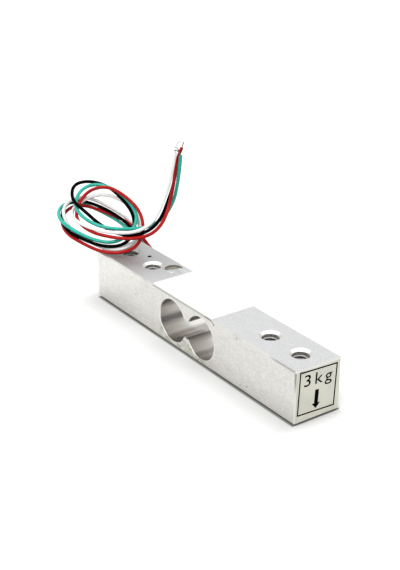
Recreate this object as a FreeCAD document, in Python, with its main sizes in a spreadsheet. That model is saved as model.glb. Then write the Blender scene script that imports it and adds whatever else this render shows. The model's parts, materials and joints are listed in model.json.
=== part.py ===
import FreeCAD, Part
import math
import os
import re

import Sketcher
from FreeCAD import Placement, Rotation, Vector

# A bar load cell: a square aluminium bar with two bores joined into one opening,
# strain gauges under sealant on the thin walls above and below it, and four loose leads.
# Frame: +X towards the labelled end, +Y to the back, +Z up, standing on the lower sealant.

doc = FreeCAD.newDocument("LoadCell")
sheet = doc.addObject("Spreadsheet::Sheet", "Sizes")

# Driving dimensions in millimetres
sizes = {
    "bar_length": 80.0,
    "bar_width": 12.7,
    "bar_height": 12.7,
    "bar_chamfer": 0.3,
    "flexure_wall": 1.05,
    "bore_web": 0.8,
    "neck_height": 4.5,
    "rim_chamfer": 0.15,
    "hole_diameter": 4.0,
    "hole_sink_diameter": 5.2,
    "hole_edge": 6.0,
    "hole_spacing": 10.4,
    "passage_diameter": 4.4,
    "passage_gap": 2.6,
    "passage_y": 3.1,
    "exit_diameter": 3.0,
    "plug_clearance": 0.02,
    "plug_recess": 0.5,
    "plug_dab": 0.05,
    "seal_roof_top": 0.31,
    "seal_roof_bottom": 0.11,
    "seal_edge_radius": 0.2,
    "seal_near_margin": 1.1,
    "seal_wall": 0.8,
    "tongue_wall": 0.4,
    "tongue_roof": 0.08,
    "film_margin": 0.5,
    "film_thickness": 0.06,
    "foil_thickness": 0.04,
    "grid_length": 4.0,
    "grid_pitch": 0.4,
    "grid_line": 0.2,
    "grid_lines": 8,
    "tab_length": 1.2,
    "tab_width": 0.7,
    "strip_gap": 1.5,
    "strip_margin": 0.25,
    "pad_length": 1.2,
    "pad_width": 1.3,
    "pad_pitch": 2.2,
    "bead_radius": 0.42,
    "bead_height": 0.12,
    "wire_diameter": 0.1,
    "wire_gap": 0.02,
    "wire_lane": 0.4,
    "label_margin": 0.55,
    "label_thickness": 0.1,
    "lead_diameter": 0.9,
    "core_diameter": 0.36,
    "core_stub": 0.9,
}
for row, (alias, number) in enumerate(sizes.items(), start=1):
    sheet.set(f"A{row}", alias)
    sheet.set(f"B{row}", str(number))
    sheet.setAlias(f"B{row}", alias)
doc.recompute()

# Each strip has a pad for each lead; these are the pads' places, in pitches from the middle
pad_steps = (-1.5, -0.5, 0.5, 1.5)

# Sizes and places that several pieces share, as expressions on the sheet
foil_top = "(film_thickness + foil_thickness)"
wiring_top = f"({foil_top} + max(bead_height; wire_diameter) + wire_gap)"
seal_height = {"top": f"({wiring_top} + seal_roof_top)", "bottom": f"({wiring_top} + seal_roof_bottom)"}
bar_low = seal_height["bottom"]
bar_top = f"({bar_low} + bar_height)"
bar_middle = f"({bar_low} + bar_height / 2)"
bore_diameter = "(bar_height - 2 * flexure_wall)"
bore_spacing = f"({bore_diameter} + bore_web)"
gauge_centre = {"near": f"({bore_spacing} / 2)", "far": f"(-{bore_spacing} / 2)"}
gauge_reach = "((grid_length + tab_length) / 2)"
tab_y = "(((grid_lines - 1) * grid_pitch + tab_width - grid_line) / 2)"
film_length = f"(2 * {gauge_reach} + 2 * film_margin)"
film_width = f"(2 * {tab_y} + tab_width + 2 * film_margin)"
strip_length = "(pad_length + 2 * strip_margin)"
outer_pad_y = f"({pad_steps[-1]} * pad_pitch)"
strip_width = f"(2 * {outer_pad_y} + pad_width + 2 * strip_margin)"
strip_near = f"({gauge_centre['far']} - {film_length} / 2 - strip_gap)"
strip_centre = f"({strip_near} - {strip_length} / 2)"
strip_far = f"({strip_near} - {strip_length})"
wiring_far = f"({strip_far} - {len(pad_steps) - 0.5} * wire_lane)"
seal_far = f"({wiring_far} - seal_wall)"
seal_near = f"({gauge_centre['near']} + {film_length} / 2 + seal_near_margin)"
passage_x = f"({seal_far} - passage_gap - passage_diameter / 2)"
tongue_hollow = f"({len(pad_steps)} * wire_lane)"
# The wires drop half-way between the middle of the passage and its near wall
mouth_x = f"({passage_x} + passage_diameter / 4)"

alias_words = re.compile(r"\b(" + "|".join(sizes) + r")\b")


def expression(text):
    """Put the sheet's name before each of its cells."""
    return alias_words.sub(r"Sizes.\1", text)


def value(text):
    """The present value of an expression on the sheet."""
    return float(sheet.evalExpression(text))


def bind(obj, properties):
    """Tie each named property to its expression."""
    for name, text in properties.items():
        obj.setExpression(name, expression(text))


def bind_place(obj, x, y, z):
    bind(obj, {"Placement.Base.x": x, "Placement.Base.y": y, "Placement.Base.z": z})


nodes = []


def finish(obj, label):
    """Give a finished piece its own name."""
    obj.Label = label
    nodes.append(obj)


def block(name, x_range, y_range, z_range):
    """A box between pairs of expressions."""
    box = doc.addObject("Part::Box", name)
    for side, (low, high) in zip(("Length", "Width", "Height"), (x_range, y_range, z_range)):
        bind(box, {side: f"{high} - ({low})"})
    bind_place(box, x_range[0], y_range[0], z_range[0])
    return box


def group(kind, name, pieces):
    """A fusion or a compound of pieces."""
    result = doc.addObject(kind, name)
    if kind == "Part::Compound":
        result.Links = pieces
    else:
        result.Shapes = pieces
    return result


def middle(centre, width):
    """The range of a width about a centre."""
    return f"{centre} - {width} / 2", f"{centre} + {width} / 2"


def layer(side, low, high):
    """Heights away from the bar's top or bottom face, as a range from low to high."""
    if side == "top":
        return f"{bar_top} + {low}", f"{bar_top} + {high}"
    return f"{bar_low} - {high}", f"{bar_low} - {low}"


# Sketch helpers


def sketch_on(body, role, name):
    """A new sketch on one of the body's own origin planes."""
    plane = next(item for item in body.Origin.OriginFeatures if item.Role == role)
    sketch = body.newObject("Sketcher::SketchObject", name)
    sketch.AttachmentSupport = [(plane, "")]
    sketch.MapMode = "FlatFace"
    return sketch


def dimension(sketch, name, kind, where, text):
    """A named dimension of a sketch, tied to the sheet."""
    index = sketch.addConstraint(Sketcher.Constraint(kind, *where, value(text)))
    sketch.renameConstraint(index, name)
    bind(sketch, {f"Constraints.{name}": text})


def draw_loop(sketch, corners):
    """A closed loop of lines, end to end."""
    for start, end in zip(corners, corners[1:] + corners[:1]):
        sketch.addGeometry(Part.LineSegment(Vector(*start, 0), Vector(*end, 0)))
    for line in range(len(corners)):
        following = (line + 1) % len(corners)
        sketch.addConstraint(Sketcher.Constraint("Coincident", line, 2, following, 1))


def draw_rectangle(sketch, x_range, y_range):
    """A rectangle that holds the sketch's origin, between pairs of expressions."""
    left, right = (value(text) for text in x_range)
    low, high = (value(text) for text in y_range)
    draw_loop(sketch, [(left, low), (right, low), (right, high), (left, high)])
    for line, direction in enumerate(("Horizontal", "Vertical", "Horizontal", "Vertical")):
        sketch.addConstraint(Sketcher.Constraint(direction, line))
    dimension(sketch, "left", "DistanceX", (0, 1, -1, 1), f"-({x_range[0]})")
    dimension(sketch, "right", "DistanceX", (-1, 1, 2, 1), x_range[1])
    dimension(sketch, "low", "DistanceY", (0, 1, -1, 1), f"-({y_range[0]})")
    dimension(sketch, "high", "DistanceY", (-1, 1, 2, 1), y_range[1])


def remove(body, kind, name, sketch, settings):
    """A pocket or groove, which has to take material away."""
    doc.recompute()
    before = body.Shape.Volume
    feature = body.newObject(kind, name)
    feature.Profile = sketch
    for setting, choice in settings.items():
        setattr(feature, setting, choice)
    doc.recompute()
    if not 0 < body.Shape.Volume < before:
        raise RuntimeError(f"{name} removes nothing")
    return feature


# Beam: a square bar with its opening, tapped holes and wire passage


def draw_opening(sketch):
    """Two equal round bores joined by a straight neck."""
    spread, radius = value(bore_spacing) / 2, value(bore_diameter) / 2
    half_neck, lift = value("neck_height / 2"), value(bar_middle)
    meet = math.asin(half_neck / radius)
    left, right = (Part.Circle(Vector(x, lift, 0), Vector(0, 0, 1), radius) for x in (-spread, spread))
    inner = spread - radius * math.cos(meet)
    sketch.addGeometry(Part.ArcOfCircle(left, meet, 2 * math.pi - meet))
    sketch.addGeometry(Part.LineSegment(Vector(-inner, lift - half_neck, 0), Vector(inner, lift - half_neck, 0)))
    sketch.addGeometry(Part.ArcOfCircle(right, math.pi + meet, 3 * math.pi - meet))
    sketch.addGeometry(Part.LineSegment(Vector(inner, lift + half_neck, 0), Vector(-inner, lift + half_neck, 0)))
    for piece in range(4):
        sketch.addConstraint(Sketcher.Constraint("Coincident", piece, 2, (piece + 1) % 4, 1))
    sketch.addConstraint(Sketcher.Constraint("Equal", 0, 2))
    sketch.addConstraint(Sketcher.Constraint("Horizontal", 1))
    sketch.addConstraint(Sketcher.Constraint("Horizontal", 3))
    dimension(sketch, "radius", "Radius", (0,), f"{bore_diameter} / 2")
    dimension(sketch, "left_bore", "DistanceX", (0, 3, -1, 1), f"{bore_spacing} / 2")
    dimension(sketch, "right_bore", "DistanceX", (-1, 1, 2, 3), f"{bore_spacing} / 2")
    dimension(sketch, "left_lift", "DistanceY", (-1, 1, 0, 3), bar_middle)
    dimension(sketch, "right_lift", "DistanceY", (-1, 1, 2, 3), bar_middle)
    dimension(sketch, "neck_low", "DistanceY", (1, 1, 0, 3), "neck_height / 2")
    dimension(sketch, "neck_high", "DistanceY", (0, 3, 3, 2), "neck_height / 2")


def draw_hole_profile(sketch, axis):
    """Half the section of a hole that is countersunk at both faces; its last line is the axis."""
    x, low, high = value(axis), value(bar_low), value(bar_top)
    wall, sink = value("hole_diameter / 2"), value("hole_sink_diameter / 2")
    bevel = sink - wall
    draw_loop(sketch, [
        (x, low), (x + sink, low), (x + wall, low + bevel), (x + wall, high - bevel), (x + sink, high), (x, high)])
    for line, direction in ((0, "Horizontal"), (2, "Vertical"), (4, "Horizontal"), (5, "Vertical")):
        sketch.addConstraint(Sketcher.Constraint(direction, line))
    bevel_text = "(hole_sink_diameter - hole_diameter) / 2"
    dimension(sketch, "axis", "DistanceX", (-1, 1, 0, 1), axis)
    dimension(sketch, "low", "DistanceY", (-1, 1, 0, 1), bar_low)
    dimension(sketch, "high", "DistanceY", (0, 1, 5, 1), "bar_height")
    dimension(sketch, "low_sink", "DistanceX", (0, 1, 0, 2), "hole_sink_diameter / 2")
    dimension(sketch, "high_sink", "DistanceX", (4, 2, 4, 1), "hole_sink_diameter / 2")
    dimension(sketch, "wall", "DistanceX", (0, 1, 2, 1), "hole_diameter / 2")
    dimension(sketch, "low_bevel", "DistanceY", (1, 1, 1, 2), bevel_text)
    dimension(sketch, "high_bevel", "DistanceY", (3, 1, 3, 2), bevel_text)


def draw_circle(sketch, x, y, diameter):
    """A circle at a negative X and a positive Y of the sketch."""
    circle = Part.Circle(Vector(value(x), value(y), 0), Vector(0, 0, 1), value(diameter) / 2)
    sketch.addGeometry(circle)
    dimension(sketch, "left", "DistanceX", (0, 3, -1, 1), f"-{x}")
    dimension(sketch, "lift", "DistanceY", (-1, 1, 0, 3), y)
    dimension(sketch, "radius", "Radius", (0,), f"{diameter} / 2")


def rim_edges(shape):
    """The edges of the opening on the bar's front and back faces."""
    half_width, radius = value("bar_width / 2"), value(bore_diameter) / 2
    reach, lift = value(bore_spacing) / 2 + radius, value(bar_middle)
    slack = value("rim_chamfer") / 10
    found = []
    for number, edge in enumerate(shape.Edges, start=1):
        box = edge.BoundBox
        on_face = abs(abs(box.Center.y) - half_width) < slack and box.YLength < slack
        in_opening = max(abs(box.XMin), abs(box.XMax)) < reach + slack
        in_height = max(abs(box.ZMin - lift), abs(box.ZMax - lift)) < radius + slack
        if on_face and in_opening and in_height:
            found.append(f"Edge{number}")
    return found


def make_beam():
    body = doc.addObject("PartDesign::Body", "Beam")
    plan = sketch_on(body, "XY_Plane", "BarPlan")
    bind(plan, {"AttachmentOffset.Base.z": bar_low})
    draw_rectangle(plan, middle("0", "bar_length"), middle("0", "bar_width"))
    bar = body.newObject("PartDesign::Pad", "Bar")
    bar.Profile = plan
    bind(bar, {"Length": "bar_height"})
    doc.recompute()

    edges = body.newObject("PartDesign::Chamfer", "BarEdges")
    edges.Base = (bar, [f"Edge{number}" for number in range(1, len(bar.Shape.Edges) + 1)])
    bind(edges, {"Size": "bar_chamfer"})

    through = {"Type": "ThroughAll", "SideType": "Symmetric"}
    outline = sketch_on(body, "XZ_Plane", "OpeningOutline")
    draw_opening(outline)
    remove(body, "PartDesign::Pocket", "Opening", outline, through)

    holes = []
    outer_axis = "bar_length / 2 - hole_edge"
    for name, axis in (("OuterHole", outer_axis), ("InnerHole", f"{outer_axis} - hole_spacing")):
        profile = sketch_on(body, "XZ_Plane", f"{name}Profile")
        draw_hole_profile(profile, axis)
        settings = {"ReferenceAxis": (profile, ["Edge6"])}
        holes.append(remove(body, "PartDesign::Groove", name, profile, settings))
    far_holes = body.newObject("PartDesign::Mirrored", "FarHoles")
    far_holes.Originals = holes
    mirror_plane = next(item for item in body.Origin.OriginFeatures if item.Role == "YZ_Plane")
    far_holes.MirrorPlane = (mirror_plane, [""])
    body.Tip = far_holes

    mouth = sketch_on(body, "XY_Plane", "PassageMouth")
    draw_circle(mouth, passage_x, "passage_y", "passage_diameter")
    remove(body, "PartDesign::Pocket", "WirePassage", mouth, through)

    way_out = sketch_on(body, "XZ_Plane", "LeadExitStart")
    bind(way_out, {"AttachmentOffset.Base.z": "-passage_y"})
    draw_circle(way_out, passage_x, bar_middle, "exit_diameter")
    exit_hole = remove(body, "PartDesign::Pocket", "LeadExit", way_out, {"Type": "ThroughAll"})

    rims = body.newObject("PartDesign::Chamfer", "OpeningRims")
    rims.Base = (exit_hole, rim_edges(exit_hole.Shape))
    bind(rims, {"Size": "rim_chamfer"})
    body.Tip = rims
    finish(body, "beam")


# Potting in the wire passage and the lead exit


def make_passage_sealant():
    upright = doc.addObject("Part::Cylinder", "PassageFill")
    bind(upright, {"Radius": "passage_diameter / 2 - plug_clearance", "Height": "bar_height - 2 * plug_recess"})
    bind_place(upright, passage_x, "passage_y", f"{bar_low} + plug_recess")
    level = doc.addObject("Part::Cylinder", "ExitFill")
    level.Placement = Placement(Vector(), Rotation(Vector(1, 0, 0), -90))
    bind(level, {
        "Radius": "exit_diameter / 2 - plug_clearance",
        "Height": "bar_width / 2 + plug_dab - passage_y",
    })
    bind_place(level, passage_x, "passage_y", bar_middle)
    finish(group("Part::MultiFuse", "PassageSealant", [upright, level]), "passage_sealant")


# Sealant over the gauges: a full-width patch with a tongue to the wire passage


def make_patch(side):
    body = doc.addObject("PartDesign::Body", f"Patch{side}")
    low, high = layer(side, "0", seal_height[side])
    plan = sketch_on(body, "XY_Plane", f"PatchPlan{side}")
    bind(plan, {"AttachmentOffset.Base.z": low})
    draw_rectangle(plan, (seal_far, seal_near), middle("0", "(bar_width - 2 * bar_chamfer)"))
    pad = body.newObject("PartDesign::Pad", f"PatchPad{side}")
    pad.Profile = plan
    bind(pad, {"Length": f"{high} - ({low})"})
    doc.recompute()
    outer = value(high if side == "top" else low)
    rim = [
        f"Edge{number}"
        for number, edge in enumerate(pad.Shape.Edges, start=1)
        if all(math.isclose(point.Z, outer, abs_tol=1e-6) for point in edge.Vertexes)]
    rounding = body.newObject("PartDesign::Fillet", f"PatchEdge{side}")
    rounding.Base = (pad, rim)
    bind(rounding, {"Radius": "seal_edge_radius"})
    return body


def make_sealant(side):
    """Patch and tongue, hollowed for the gauges, the terminal strip and the wires."""
    tongue_range = (f"{mouth_x} - wire_lane / 2 - tongue_wall", wiring_far)
    tongue = block(
        f"Tongue{side}", tongue_range, middle("passage_y", f"({tongue_hollow} + 2 * tongue_wall)"),
        layer(side, "0", f"({wiring_top} + tongue_roof)"))
    film_layer = layer(side, "0", foil_top)
    wire_layer = layer(side, "0", wiring_top)
    hollows = [
        block(f"FilmHollow{side}{end}", middle(centre, film_length), middle("0", film_width), film_layer)
        for end, centre in gauge_centre.items()]
    tab_near = {end: f"({centre} - {gauge_reach} + tab_length)" for end, centre in gauge_centre.items()}
    hollows.append(block(
        f"StripHollow{side}", (wiring_far, tab_near["far"]), middle("0", strip_width), wire_layer))
    hollows.append(block(
        f"TongueHollow{side}", (f"{mouth_x} - wire_lane / 2", wiring_far), middle("passage_y", tongue_hollow),
        wire_layer))
    for name, sign in (("Front", "-"), ("Back", "")):
        lane = middle(f"{sign}{outer_pad_y}", "wire_lane")
        hollows.append(block(f"LaneHollow{name}{side}", (tab_near["far"], tab_near["near"]), lane, wire_layer))
        across = (lane[0], "0") if sign else ("0", lane[1])
        tab_range = (f"{tab_near['near']} - tab_length", tab_near["near"])
        hollows.append(block(f"TabHollow{name}{side}", tab_range, across, wire_layer))
    sealant = doc.addObject("Part::Cut", f"Sealant{side}")
    sealant.Base = group("Part::MultiFuse", f"SealantBody{side}", [make_patch(side), tongue])
    sealant.Tool = group("Part::MultiFuse", f"SealantHollow{side}", hollows)
    finish(sealant, f"{side}_sealant")


# Strain gauges: a carrier film with a folded foil grid, over each thin wall


def grid_shape():
    """The foil of one gauge, flat on its film, with both tabs towards -X."""
    reach, line, pitch = value(gauge_reach), value("grid_line"), value("grid_pitch")
    tab_length, tab_width, thick = value("tab_length"), value("tab_width"), value("foil_thickness")
    count = round(value("grid_lines"))
    start, end = tab_length - reach, reach
    rows = [(index - (count - 1) / 2) * pitch for index in range(count)]

    def strip(x_low, x_high, y_low, y_high):
        return Part.makeBox(x_high - x_low, y_high - y_low, thick, Vector(x_low, y_low, 0))

    pieces = [strip(start, end, y - line / 2, y + line / 2) for y in rows]
    for index, (y, following) in enumerate(zip(rows, rows[1:])):
        fold = end - line if index % 2 == 0 else start
        pieces.append(strip(fold, fold + line, y - line / 2, following + line / 2))
    for centre in (-value(tab_y), value(tab_y)):
        pieces.append(strip(-reach, start, centre - tab_width / 2, centre + tab_width / 2))
    return pieces[0].multiFuse(pieces[1:]).removeSplitter()


def make_gauges(side):
    film_layer = layer(side, "0", "film_thickness")
    foil_low = layer(side, "film_thickness", foil_top)[0]
    for end, centre in gauge_centre.items():
        film = block(
            f"Film{side}{end}", middle(centre, film_length), middle("0", film_width), film_layer)
        finish(film, f"gauge_film_{side}_{end}")
        grid = doc.addObject("Part::Feature", f"Grid{side}{end}")
        grid.Shape = grid_shape()
        grid.Placement = Placement(Vector(value(centre), 0, value(foil_low)), Rotation())
        finish(grid, f"gauge_grid_{side}_{end}")


# Terminal strip: solder pads in a row, each with a low bead of solder

bead_sides = 8


def make_terminals(side):
    strip_layer = layer(side, "0", "film_thickness")
    pad_layer = layer(side, "film_thickness", foil_top)
    bead_foot = layer(side, foil_top, foil_top)[0]
    strip = block(
        f"Strip{side}", middle(strip_centre, strip_length), middle("0", strip_width), strip_layer)
    finish(strip, f"terminal_strip_{side}")
    pads, beads = [], []
    turn = Rotation(Vector(1, 0, 0), 0 if side == "top" else 180)
    for index, step in enumerate(pad_steps):
        pad_y = f"({step} * pad_pitch)"
        pads.append(block(
            f"Pad{side}{index}", middle(strip_centre, "pad_length"), middle(pad_y, "pad_width"), pad_layer))
        bead = doc.addObject("Part::Prism", f"Bead{side}{index}")
        bead.Polygon = bead_sides
        bead.Placement = Placement(Vector(), turn)
        bind(bead, {"Circumradius": "bead_radius", "Height": "bead_height"})
        bind_place(bead, strip_centre, pad_y, bead_foot)
        beads.append(bead)
    finish(group("Part::Compound", f"Pads{side}", pads), f"solder_pads_{side}")
    finish(group("Part::Compound", f"Beads{side}", beads), f"solder_beads_{side}")


# Round wire along straight runs joined by tangent arcs

arc_share = 0.45
smooth_joints, sharp_corners = 0, 1


def rounded_path(points):
    """The path and its bend radii; each arc takes the same share of its shorter run."""
    points = [Vector(*point) for point in points]
    edges, radii = [], []
    start = points[0]
    for before, corner, after in zip(points, points[1:], points[2:]):
        back, forth = before - corner, after - corner
        half_turn = (math.pi - back.getAngle(forth)) / 2
        reach = arc_share * min(back.Length, forth.Length)
        back.normalize()
        forth.normalize()
        radius = reach / math.tan(half_turn)
        bisector = (back + forth).normalize()
        summit = corner + bisector * (math.hypot(radius, reach) - radius)
        edges.append(Part.LineSegment(start, corner + back * reach).toShape())
        edges.append(Part.Arc(corner + back * reach, summit, corner + forth * reach).toShape())
        start = corner + forth * reach
        radii.append(radius)
    edges.append(Part.LineSegment(start, points[-1]).toShape())
    return Part.Wire(edges), radii


def flat_sided(points, diameter, path, corner_style):
    """A wire with four flats, which keep it light, swept along a path."""
    first, second = Vector(*points[0]), Vector(*points[1])
    ring = Part.Circle(first, second - first, diameter / 2)
    corners = [ring.value(math.radians(angle)) for angle in (45, 135, 225, 315, 45)]
    section = Part.makePolygon(corners)
    solid = path.makePipeShell([section], True, False, corner_style)
    wanted = Part.Face(section).Area * path.Length
    if not math.isclose(solid.Volume, wanted, rel_tol=0.01):
        raise RuntimeError("a wire's volume isn't its section times its length")
    return solid


# Fine wires under the sealant: gauge tabs to pads, and pads to the wire passage


def make_wires(side):
    outwards = 1 if side == "top" else -1
    face = value(bar_top if side == "top" else bar_low)
    diameter = value("wire_diameter")
    level = face + outwards * (value(foil_top) + diameter / 2)
    plug_end = face - outwards * value("plug_recess")
    bead_edge = value("bead_radius") + value("wire_gap")
    bead_near, bead_far = value(strip_centre) + bead_edge, value(strip_centre) - bead_edge
    pad_rows = [step * value("pad_pitch") for step in pad_steps]
    tab_row = value(tab_y)
    tab_x = {end: value(f"{centre} - {gauge_reach} + tab_length / 2") for end, centre in gauge_centre.items()}

    jumpers = []
    turn_x = tab_x["far"] - value("tab_length")
    for hand, inner_y, outer_y in ((-1, pad_rows[1], pad_rows[0]), (1, pad_rows[2], pad_rows[3])):
        jumpers.append([
            (tab_x["far"], hand * tab_row, level), (turn_x, hand * tab_row, level), (bead_near, inner_y, level)])
        jumpers.append([
            (tab_x["near"], hand * tab_row, level), (tab_x["near"], outer_y, level), (bead_near, outer_y, level)])
    finish_wires(jumpers, diameter, f"jumper_wires_{side}")

    links = []
    lane, mouth = value("wire_lane"), value(mouth_x)
    for index, (step, pad_y) in enumerate(zip(pad_steps, pad_rows)):
        row_y = value("passage_y") + step * lane
        lane_x = value(strip_far) - (len(pad_rows) - 1 - index) * lane
        turn = [(lane_x, pad_y, level)] if pad_y != pad_rows[-1] else []
        links.append(
            [(bead_far, pad_y, level)] + turn
            + [(lane_x, row_y, level), (mouth, row_y, level), (mouth, row_y, plug_end)])
    finish_wires(links, diameter, f"link_wires_{side}")


def finish_wires(routes, diameter, label):
    wires = doc.addObject("Part::Feature", "".join(word.title() for word in label.split("_")))
    paths = [Part.makePolygon([Vector(*point) for point in route]) for route in routes]
    wires.Shape = Part.Compound([
        flat_sided(route, diameter, path, sharp_corners) for route, path in zip(routes, paths)])
    finish(wires, label)


# Label on the near end face


def make_label():
    label = block(
        "Label", ("bar_length / 2", "bar_length / 2 + label_thickness"),
        middle("0", "(bar_width - 2 * label_margin)"), middle(bar_middle, "(bar_height - 2 * label_margin)"))
    finish(label, "capacity_label")


# Leads: out of the lead exit, back over the far end in two loose turns, then upright.
# Each tip is the bare core that is left where the insulation was stripped.

lead_routes = {
    "red": [
        (-18.5, 6.4, 7.2), (-18.5, 10.2, 7.2), (-21.2, 13.2, 6.8), (-25.6, 13.5, 6.0), (-31.2, 12.0, 6.5),
        (-37.6, 10.2, 9.3), (-45.0, 8.0, 15.2), (-51.3, 3.5, 17.7), (-55.2, -1.8, 20.0), (-56.2, -5.6, 19.2),
        (-53.9, -9.0, 17.5), (-48.0, -10.9, 16.1), (-41.9, -9.1, 14.7), (-36.3, -6.9, 13.8), (-33.0, -3.0, 13.8),
        (-32.8, 1.4, 14.7), (-35.2, 4.9, 17.3), (-39.0, 6.6, 20.8), (-44.2, 5.8, 23.6), (-50.6, 3.8, 25.3),
        (-53.6, -0.3, 24.2), (-51.7, -5.0, 21.6), (-47.2, -8.2, 19.4), (-40.8, -7.6, 18.0), (-36.4, -4.2, 17.3),
        (-32.6, -0.7, 17.2), (-31.0, 4.2, 17.6), (-32.2, 8.8, 19.4), (-34.0, 12.0, 23.0), (-34.0, 13.2, 27.5),
        (-33.4, 13.6, 32.0), (-32.2, 13.8, 36.0), (-31.4, 14.3, 38.9)],
    "black": [
        (-19.5, 6.4, 7.2), (-19.5, 9.9, 7.2), (-22.1, 12.4, 6.8), (-26.0, 12.3, 6.0), (-31.4, 10.8, 6.3),
        (-37.6, 9.2, 9.0), (-44.6, 7.0, 15.2), (-50.7, 3.4, 18.8), (-55.9, -1.2, 20.8), (-56.4, -5.8, 20.9),
        (-53.2, -9.4, 18.3), (-47.4, -11.0, 17.0), (-41.2, -8.5, 15.6), (-37.0, -5.9, 14.9), (-34.6, -1.8, 15.0),
        (-36.4, 2.7, 16.7), (-40.6, 5.4, 19.9), (-46.3, 6.0, 22.0), (-53.0, 5.2, 24.4), (-56.0, 1.6, 25.0),
        (-55.5, -3.6, 25.0), (-51.2, -6.7, 23.6), (-46.3, -5.9, 21.6), (-42.3, -4.1, 18.9), (-37.0, -2.2, 17.5),
        (-32.5, 0.7, 17.8), (-31.9, 5.4, 18.8), (-33.8, 9.6, 20.6), (-35.2, 12.3, 23.6), (-34.9, 13.7, 27.1),
        (-34.3, 14.2, 31.1), (-33.3, 14.4, 34.6)],
    "green": [
        (-19.5, 6.4, 6.2), (-19.5, 9.9, 6.2), (-22.1, 12.5, 5.8), (-26.0, 12.4, 4.9), (-31.4, 10.8, 5.2),
        (-37.6, 9.2, 7.8), (-45.1, 6.6, 14.4), (-52.0, 4.0, 16.9), (-57.0, -0.8, 19.6), (-58.0, -5.8, 20.2),
        (-54.3, -10.3, 19.4), (-48.6, -11.3, 18.8), (-44.2, -9.1, 16.9), (-39.8, -6.7, 15.8), (-36.3, -3.6, 15.6),
        (-35.6, 0.2, 16.9), (-37.1, 3.9, 18.9), (-40.7, 6.2, 20.5), (-44.6, 6.3, 22.4), (-49.6, 5.3, 24.5),
        (-54.2, 2.4, 25.6), (-54.9, -2.4, 24.8), (-52.0, -5.9, 22.7), (-47.3, -7.2, 20.9), (-41.9, -6.2, 19.6),
        (-38.0, -3.6, 19.0), (-34.7, 0.6, 18.9), (-34.4, 6.0, 18.5), (-35.2, 11.0, 20.3), (-35.0, 14.3, 23.8),
        (-34.8, 15.2, 28.2), (-34.6, 15.7, 32.2), (-34.3, 15.8, 35.8)],
    "white": [
        (-18.5, 6.4, 6.2), (-18.5, 10.4, 6.2), (-21.2, 13.5, 5.8), (-25.6, 13.6, 4.9), (-31.2, 12.0, 5.4),
        (-38.5, 10.4, 8.4), (-45.4, 9.0, 15.0), (-51.3, 4.5, 19.2), (-55.3, -0.4, 21.9), (-56.0, -5.3, 21.6),
        (-53.2, -8.9, 20.0), (-49.0, -9.3, 17.0), (-42.6, -7.9, 15.4), (-37.4, -5.6, 14.0), (-34.2, -2.2, 14.0),
        (-34.6, 2.4, 15.4), (-38.0, 5.6, 17.6), (-42.9, 7.4, 19.9), (-48.2, 6.3, 21.6), (-51.7, 3.2, 22.9),
        (-53.3, -0.8, 22.3), (-52.4, -5.8, 21.0), (-47.2, -9.6, 20.2), (-40.6, -7.3, 18.9), (-36.1, -3.8, 18.5),
        (-32.6, 0.5, 18.7), (-32.9, 5.4, 19.6), (-34.2, 9.8, 22.5), (-34.1, 11.5, 26.3), (-33.4, 12.2, 30.4),
        (-33.1, 12.8, 34.4), (-32.8, 13.0, 37.9)],
}
tip_bends = {
    "red": [(-31.56, 15.19, 40.31)],
    "black": [(-34.0, 14.9, 36.4), (-35.2, 14.53, 37.09)],
    "green": [(-35.15, 15.86, 37.39), (-35.91, 15.02, 37.69)],
    "white": [(-33.05, 14.04, 39.66), (-32.54, 15.38, 40.44)],
}


def make_cord(label, route, diameter):
    path, radii = rounded_path(route)
    cord = doc.addObject("Part::Feature", "".join(word.title() for word in label.split("_")))
    cord.Shape = flat_sided(route, diameter, path, smooth_joints)
    finish(cord, label)
    print(label, "length", round(path.Length, 1), "radii", [round(radius, 1) for radius in radii])


def tip_route(lead_route, bends):
    """The bare core leaves its lead straight for a little way, then bends."""
    before, end = Vector(*lead_route[-2]), Vector(*lead_route[-1])
    stub = end + (end - before).normalize() * value("core_stub")
    return [tuple(end), tuple(stub)] + bends


make_beam()
make_passage_sealant()
for side in ("top", "bottom"):
    make_sealant(side)
    make_gauges(side)
    make_terminals(side)
    make_wires(side)
make_label()
for colour, route in lead_routes.items():
    make_cord(f"{colour}_lead", route, value("lead_diameter"))
    make_cord(f"{colour}_lead_tip", tip_route(route, tip_bends[colour]), value("core_diameter"))
doc.recompute()

for obj in doc.Objects:
    if "Invalid" in obj.State or "Error" in obj.State:
        raise RuntimeError(f"{obj.Label} failed to build")
for node in nodes:
    if node.Shape.isNull() or not node.Shape.isValid():
        raise RuntimeError(f"{node.Label} has no valid shape")

os.makedirs("parts", exist_ok=True)
for node in nodes:
    node.Shape.exportStep(f"parts/{node.Label}.step")
    print(node.Label, round(node.Shape.Volume, 3), "mm3")
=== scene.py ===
import json
import math

import bmesh
import bpy
from mathutils import Matrix, Vector, noise


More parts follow.
